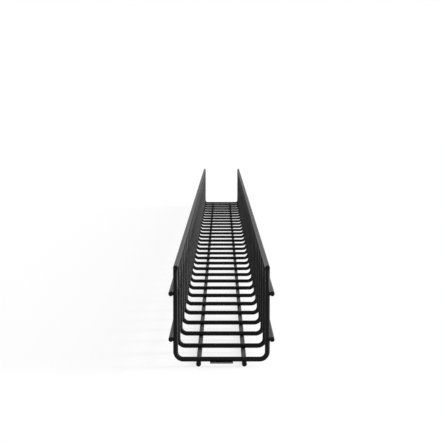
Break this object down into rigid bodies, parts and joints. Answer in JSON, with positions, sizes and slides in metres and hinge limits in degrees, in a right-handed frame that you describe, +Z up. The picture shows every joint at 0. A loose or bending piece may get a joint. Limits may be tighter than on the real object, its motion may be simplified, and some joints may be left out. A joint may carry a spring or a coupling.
{
  "type": "wire mesh cable basket",
  "caption": "Straight length of U-shaped cable basket made of black-coated round steel wires, welded where they cross, open at the top and at both ends.",
  "frame": {"origin": "middle of the underside, in the plane that the basket lies on, halfway between the cut ends of the long wires", "axes": "+X across the basket to the right as seen from the end with the marking plate, +Y along the basket away from that end, +Z up out of the open top"},
  "size_m": [0.11, 3.0081, 0.1052],
  "materials": {
    "black_coating": "fine satin black powder coat over steel wire",
    "plate_coating": "bare grey satin plate, blank"
  },
  "bodies": {
    "root": {"cross_wire_01": "black_coating", "cross_wire_02": "black_coating", "cross_wire_03": "black_coating", "cross_wire_04": "black_coating", "cross_wire_05": "black_coating", "cross_wire_06": "black_coating", "cross_wire_07": "black_coating", "cross_wire_08": "black_coating", "cross_wire_09": "black_coating", "cross_wire_10": "black_coating", "cross_wire_11": "black_coating", "cross_wire_12": "black_coating", "cross_wire_13": "black_coating", "cross_wire_14": "black_coating", "cross_wire_15": "black_coating", "cross_wire_16": "black_coating", "cross_wire_17": "black_coating", "cross_wire_18": "black_coating", "cross_wire_19": "black_coating", "cross_wire_20": "black_coating", "cross_wire_21": "black_coating", "cross_wire_22": "black_coating", "cross_wire_23": "black_coating", "cross_wire_24": "black_coating", "cross_wire_25": "black_coating", "cross_wire_26": "black_coating", "cross_wire_27": "black_coating", "cross_wire_28": "black_coating", "cross_wire_29": "black_coating", "cross_wire_30": "black_coating", "cross_wire_31": "black_coating", "floor_wire_left": "black_coating", "floor_wire_right": "black_coating", "side_wire_lower_left": "black_coating", "side_wire_lower_right": "black_coating", "side_wire_upper_left": "black_coating", "side_wire_upper_right": "black_coating", "edge_wire_left": "black_coating", "edge_wire_right": "black_coating", "marking_plate": "plate_coating"}
  },
  "joints": []
}
